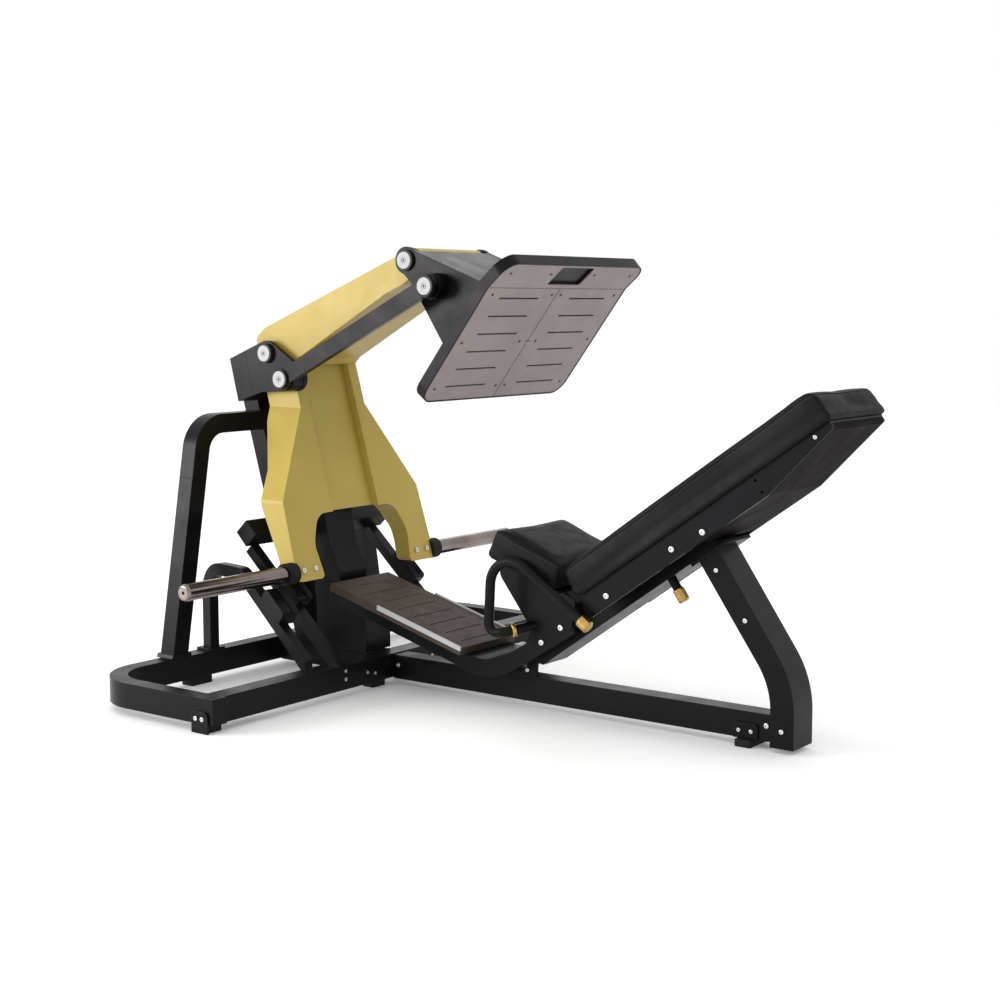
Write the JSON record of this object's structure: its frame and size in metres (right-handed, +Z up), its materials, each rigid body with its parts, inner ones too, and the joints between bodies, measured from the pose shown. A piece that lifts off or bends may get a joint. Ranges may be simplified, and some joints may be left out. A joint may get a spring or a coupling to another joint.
{
  "type": "leg press machine",
  "caption": "Plate-loaded leg press: inclined footplate on a parallel linkage with a gold lever and chrome weight horns, padded seat, sliding reclined backrest and a welded tube base.",
  "frame": {"origin": "middle of the footprint on the floor", "axes": "+X towards the backrest end, +Y towards the user's right as seated facing -X, +Z up"},
  "size_m": [2.1845, 1.6618, 1.361],
  "materials": {
    "black_coat": "satin black powder coat",
    "bolt_steel": "bright zinc socket bolts",
    "chrome": "polished chrome",
    "dark_bolt": "black oxide bolts and screws",
    "gold_coat": "satin champagne gold powder coat",
    "gold_fitting": "satin gold anodised fittings",
    "grip": "black rubber-coated handle",
    "pad_grey": "matt warm grey pad",
    "ring_grey": "dark rings with a thin bright edge",
    "rubber": "black rubber",
    "step_grey": "matt warm dark grey tread",
    "strip_grey": "mid grey satin edge trim",
    "vinyl": "black upholstery vinyl with a fine grain",
    "white_cap": "white moulded caps"
  },
  "bodies": {
    "frame": {"front_crossbar": "black_coat", "corner_bends": "black_coat", "side_rails": "black_coat", "cross_beam": "black_coat", "spine_rails": "black_coat", "rear_post": "black_coat", "rubber_feet": "rubber", "foot_plates": "black_coat", "foot_bolts": "bolt_steel", "arch_legs": "black_coat", "arch_shoulders": "black_coat", "column": "black_coat", "pedestal": "black_coat", "neck": "black_coat", "head_block": "black_coat", "head_plates": "black_coat", "head_shafts": "bolt_steel", "head_rings": "ring_grey", "head_caps": "white_cap", "head_spacer": "black_coat", "step_plate": "step_grey", "step_strips": "strip_grey", "s_beam": "black_coat", "back_rail": "black_coat", "rail_foot": "black_coat", "seat_plates": "black_coat", "beam_bolts": "bolt_steel", "seat_pan": "black_coat", "seat_cushion": "vinyl", "handles": "grip", "handle_caps": "gold_fitting", "handle_arms": "black_coat", "pin_sleeve": "black_coat", "stop_tube": "black_coat", "stop_legs": "black_coat", "stop_blocks": "black_coat", "stop_pads": "rubber"},
    "lever": {"lever_beam": "gold_coat", "lever_legs": "gold_coat", "lever_web": "gold_coat", "horn_collars": "rubber", "horns": "chrome", "horn_bolts": "bolt_steel"},
    "link": {"link_bar": "black_coat"},
    "footplate": {"foot_brackets": "black_coat", "foot_bracket_cover": "black_coat", "foot_shafts": "bolt_steel", "foot_rings": "ring_grey", "foot_caps": "white_cap", "foot_spacer": "black_coat", "footplate_tray": "black_coat", "footplate_pads": "pad_grey", "footplate_screws": "dark_bolt"},
    "backrest": {"back_cushion": "vinyl", "back_board": "black_coat", "back_plates": "black_coat", "back_covers": "black_coat", "back_runners": "black_coat", "back_bolts": "bolt_steel"},
    "pull_pin": {"pin_knob": "gold_fitting"}
  },
  "joints": [
    {"name": "lever_pivot", "type": "hinge", "parent": "frame", "child": "lever", "pos_m": [-0.8472, 0, 1.039], "axis": [0, -1, 0], "range_deg": [0, 40]},
    {"name": "link_pivot", "type": "hinge", "parent": "frame", "child": "link", "pos_m": [-0.7252, 0, 0.963], "axis": [0, -1, 0], "range_deg": [0, 40]},
    {"name": "footplate_pivot", "type": "hinge", "parent": "lever", "child": "footplate", "pos_m": [-0.2692, 0, 1.321], "axis": [0, -1, 0], "range_deg": [-40, 0]},
    {"name": "back_slide", "type": "slide", "parent": "frame", "child": "backrest", "axis": [0.8192, 0, 0.5736], "range_m": [0, 0.13]},
    {"name": "pin_pull", "type": "slide", "parent": "frame", "child": "pull_pin", "axis": [0.5736, 0, -0.8192], "range_m": [0, 0.015], "stiffness_N_per_m": 600}
  ],
  "couplings": [
    {"joint": "link_pivot", "follows": "lever_pivot", "ratio": 1},
    {"joint": "footplate_pivot", "follows": "lever_pivot", "ratio": -1}
  ]
}
